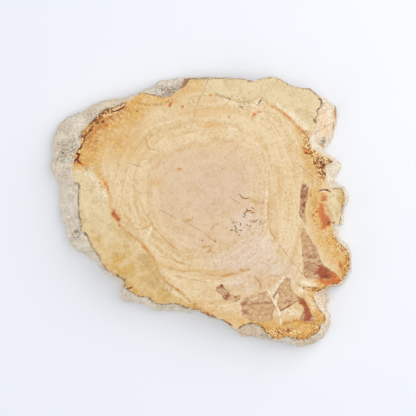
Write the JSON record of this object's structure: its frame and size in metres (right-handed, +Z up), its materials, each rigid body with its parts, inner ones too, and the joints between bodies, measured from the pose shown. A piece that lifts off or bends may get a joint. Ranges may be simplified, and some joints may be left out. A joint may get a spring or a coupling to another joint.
{
  "type": "petrified wood slice",
  "caption": "Slice of petrified wood log, sawn flat on both sides: a polished upper face with fossil growth rings, a flat underside, and rough stone bark round its ragged rim.",
  "frame": {"origin": "on the underside, at the middle of the slice's bounding box", "axes": "+Z up out of the polished face, +X along the slice's longest side towards its lobed edge, +Y towards its straighter edge"},
  "size_m": [0.2512, 0.2266, 0.028],
  "materials": {
    "petrified_wood": "golden tan agatised wood, polished on the upper face, matte where it is sawn and on the bark"
  },
  "bodies": {
    "root": {"petrified_wood_slice": "petrified_wood"}
  },
  "joints": []
}
